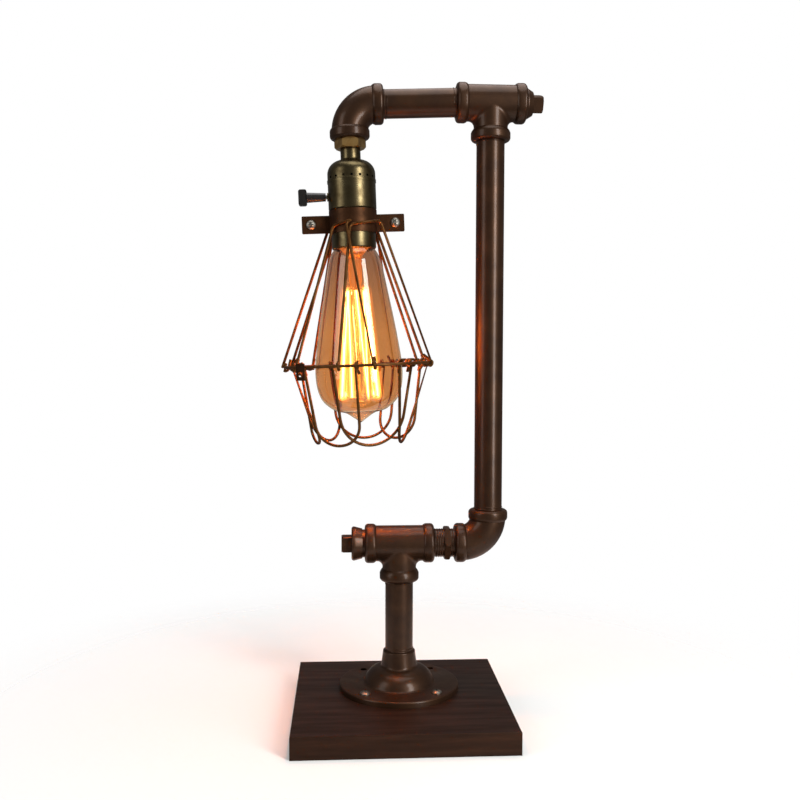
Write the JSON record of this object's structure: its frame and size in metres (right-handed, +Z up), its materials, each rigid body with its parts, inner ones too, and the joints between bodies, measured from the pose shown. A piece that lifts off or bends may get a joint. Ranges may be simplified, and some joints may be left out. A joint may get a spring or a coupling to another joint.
{
  "type": "industrial pipe table lamp",
  "caption": "Table lamp of dark threaded pipe on a square wooden base, with a swinging arm and a tilting keyed socket that holds a filament bulb in a hinged wire cage.",
  "frame": {"origin": "centre of the base board's underside", "axes": "+Z up, +X to the right along the arm seen from the front, +Y to the back"},
  "size_m": [0.1979, 0.152, 0.4782],
  "materials": {
    "wood": "satin",
    "bronze_paint": "satin",
    "screw_steel": "brushed",
    "lead_fabric": "matte",
    "brass": "satin",
    "antique_brass": "satin",
    "steel_tube": "satin",
    "fibre": "matte",
    "phenolic": "gloss",
    "contact_brass": "satin",
    "black_plastic": "gloss",
    "amber_glass": "gloss",
    "clear_glass": "gloss",
    "cap_brass": "satin",
    "filament_wire": "glowing",
    "cage_wire": "satin",
    "cage_band": "satin"
  },
  "bodies": {
    "stand": {"base_board": "wood", "floor_flange": "bronze_paint", "flange_screws": "screw_steel", "post_pipe": "bronze_paint", "lower_tee": "bronze_paint", "lower_plug": "bronze_paint", "lower_nipple": "bronze_paint", "lower_locknut": "bronze_paint", "lower_elbow": "bronze_paint", "riser_pipe": "bronze_paint", "stand_lead": "lead_fabric"},
    "arm": {"upper_tee": "bronze_paint", "upper_plug": "bronze_paint", "arm_pipe": "bronze_paint", "arm_lead": "lead_fabric"},
    "head": {"upper_elbow": "bronze_paint", "hex_reducer": "brass", "lamp_nipple": "steel_tube", "socket_cap": "antique_brass", "socket_shell": "antique_brass", "shell_liner": "fibre", "lamp_holder": "phenolic", "terminal_screws": "contact_brass", "screw_shell": "contact_brass", "centre_contact": "contact_brass", "head_lead": "lead_fabric", "key_bush": "antique_brass", "cage_collar_front": "cage_band", "cage_collar_rear": "cage_band", "collar_screws": "screw_steel", "collar_nuts": "screw_steel", "cage_upper_ring": "cage_wire", "cage_hairpins": "cage_wire"},
    "key": {"key_spindle": "steel_tube", "switch_key": "black_plastic"},
    "bulb": {"bulb_glass": "amber_glass", "bulb_cap": "cap_brass", "bulb_insulator": "phenolic", "bulb_contact": "contact_brass", "bulb_stem": "clear_glass", "filament": "filament_wire", "filament_supports": "filament_wire"},
    "basket": {"cage_lower_ring": "cage_wire", "cage_petals": "cage_wire", "cage_hinge_links": "cage_wire", "cage_latch_clip": "cage_band"}
  },
  "joints": [
    {"name": "arm_swing", "type": "hinge", "parent": "stand", "child": "arm", "pos_m": [0.06845, 0.015, 0.4344], "axis": [0, 0, 1], "range_deg": [-90, 90]},
    {"name": "head_tilt", "type": "hinge", "parent": "arm", "child": "head", "pos_m": [-0.01311, 0.015, 0.46099], "axis": [0.9992, 0, 0.0401], "range_deg": [-60, 60]},
    {"name": "key_turn", "type": "hinge", "parent": "head", "child": "key", "pos_m": [-0.05533, 0.015, 0.39104], "axis": [-0.9992, 0, -0.0401], "continuous": true},
    {"name": "bulb_turn", "type": "hinge", "parent": "head", "child": "bulb", "pos_m": [-0.03507, 0.015, 0.36003], "axis": [-0.0401, 0, 0.9992], "continuous": true},
    {"name": "basket_open", "type": "hinge", "parent": "head", "child": "basket", "pos_m": [0.00965, 0.05251, 0.26675], "axis": [0.675, -0.7373, 0.0271], "range_deg": [0, 90]}
  ]
}
